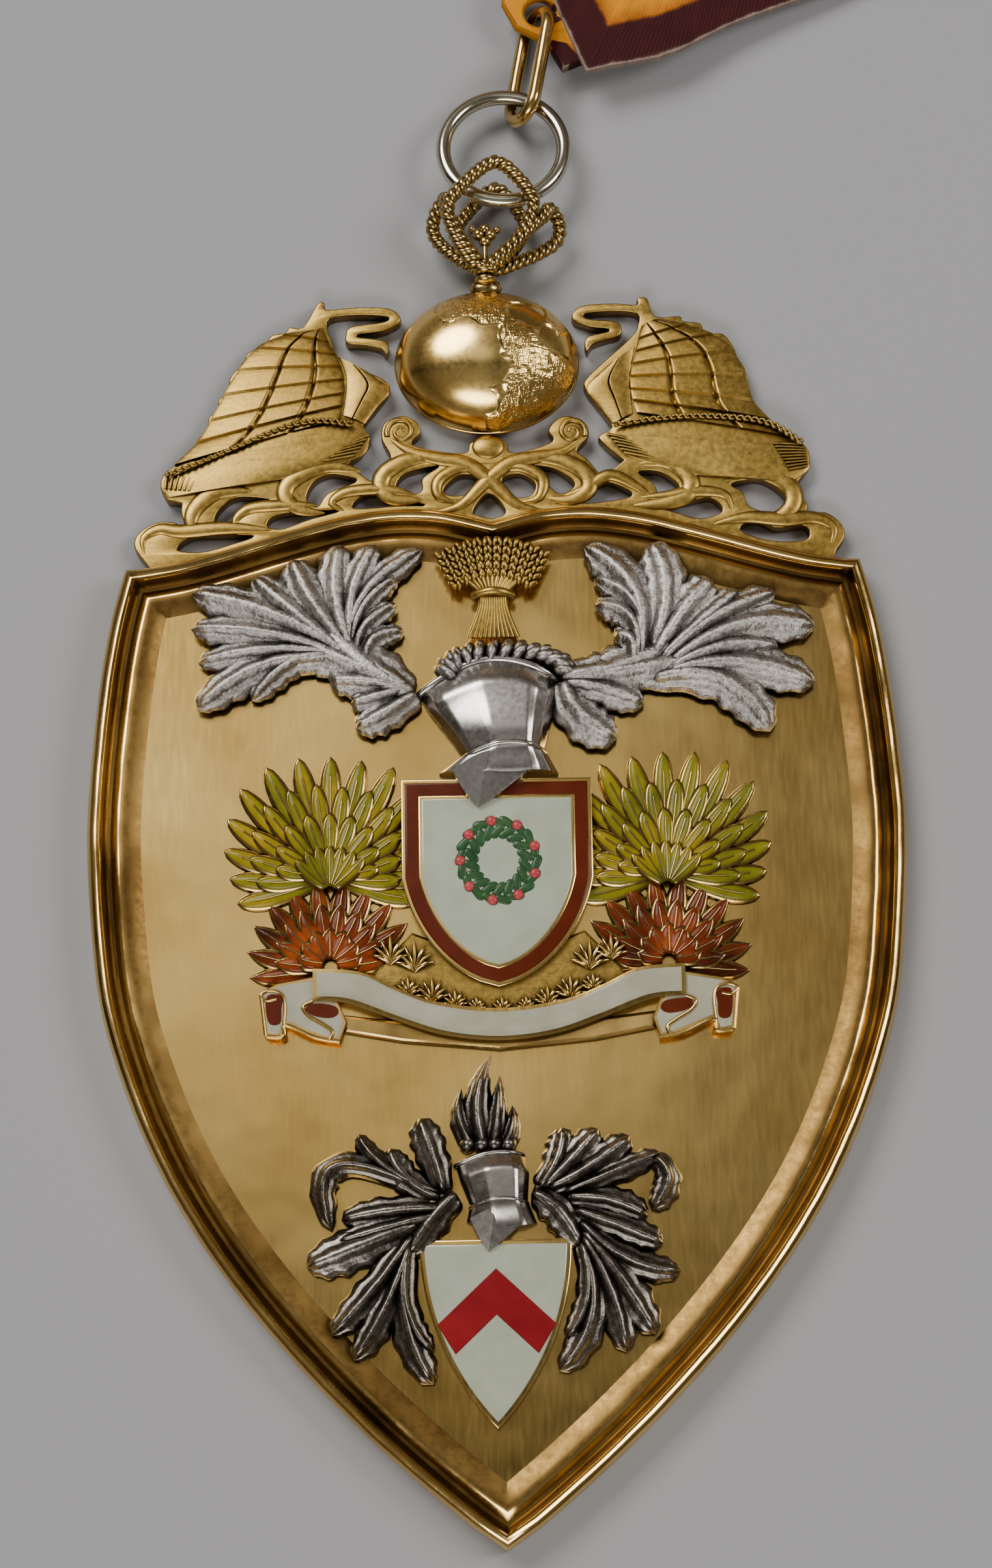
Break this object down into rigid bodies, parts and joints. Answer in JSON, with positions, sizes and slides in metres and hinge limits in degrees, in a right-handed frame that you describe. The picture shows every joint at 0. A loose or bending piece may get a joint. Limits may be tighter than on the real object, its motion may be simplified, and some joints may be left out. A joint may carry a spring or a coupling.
{
  "type": "badge of office on neck ribbon",
  "caption": "Shield-shaped metal badge of office with pierced ship gallery, globe and wire crown, hung by ring and link on a broad closed neck ribbon, lying face up.",
  "frame": {"origin": "centre of the flat back of the shield plate, on the surface it lies on", "axes": "+Y runs up the badge to the crown and the ribbon, +Z points out of the badge's face"},
  "size_m": [0.1993, 0.4305, 0.038],
  "materials": {
    "ribbon_cloth": "ribbed yellow-orange silk ribbon with dark maroon borders and a pale frayed selvedge",
    "polished_gold": "polished warm gilt metal with fine scratches and soft brown reflections",
    "matte_gold": "brushed and engraved matte gilt metal",
    "polished_silver": "polished silver with soft facets",
    "frosted_silver": "frosted textured silver with bright edges",
    "dark_silver": "toned silver, dark in the recesses",
    "brown_enamel": "glossy maroon-brown enamel border with gilt lines round a white enamel field",
    "green_enamel": "glossy yellow-green and orange-red enamel between gilt cell walls",
    "white_enamel": "glossy pale grey-white enamel"
  },
  "bodies": {
    "root": {"neck_ribbon": "ribbon_cloth", "ribbon_link": "polished_gold", "suspension_ring": "polished_silver", "crown_bail": "matte_gold", "globe": "polished_gold", "pierced_gallery": "matte_gold", "shield_plate": "polished_gold", "upper_left_mantling": "frosted_silver", "upper_right_mantling": "frosted_silver", "upper_torse": "frosted_silver", "upper_helmet": "polished_silver", "upper_crest": "matte_gold", "upper_arms_shield": "brown_enamel", "left_spray": "green_enamel", "right_spray": "green_enamel", "ground": "matte_gold", "scroll": "white_enamel", "lower_left_mantling": "dark_silver", "lower_right_mantling": "dark_silver", "lower_helmet": "dark_silver", "lower_crest": "dark_silver", "lower_arms_shield": "white_enamel"}
  },
  "joints": []
}
